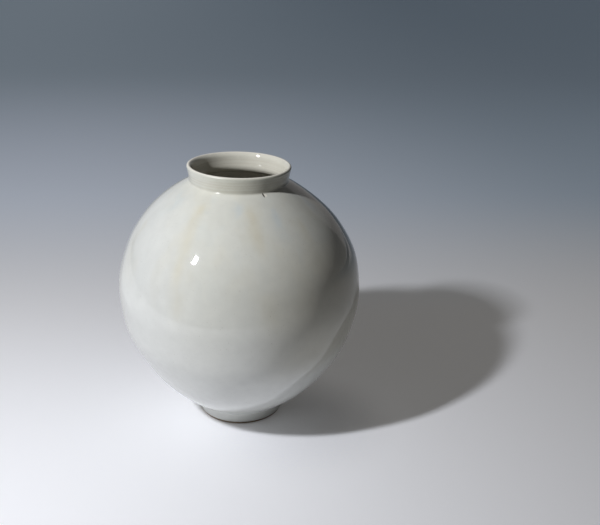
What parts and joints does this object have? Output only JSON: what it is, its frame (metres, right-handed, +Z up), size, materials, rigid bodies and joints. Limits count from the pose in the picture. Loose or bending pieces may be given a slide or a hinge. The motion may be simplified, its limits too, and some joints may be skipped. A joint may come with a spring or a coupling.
{
  "type": "moon jar",
  "caption": "Round white porcelain storage jar joined at the belly from thrown bowls, with a short flared collar, a low foot ring and a glossy pale glaze.",
  "frame": {"origin": "centre of the foot ring's standing face, on the floor", "axes": "+Z up along the jar's axis; the jar is round, so +X and +Y are free, and the picture looks along +Y"},
  "size_m": [0.4, 0.3998, 0.4402],
  "materials": {
    "glaze": "glossy clear glaze, milky white with a faint blue-grey cast",
    "clay": "bare fired porcelain clay, matt, toasted brown at the foot's edge",
    "slip": "fired joining slip, matt off-white"
  },
  "bodies": {
    "root": {"foot_ring": "clay", "foot_slip": "slip", "lower_bowl": "clay", "belly_slip": "slip", "upper_bowl": "clay", "neck_slip": "slip", "neck_collar": "clay", "outer_glaze": "glaze", "inner_glaze": "glaze", "foot_glaze": "glaze"}
  },
  "joints": []
}
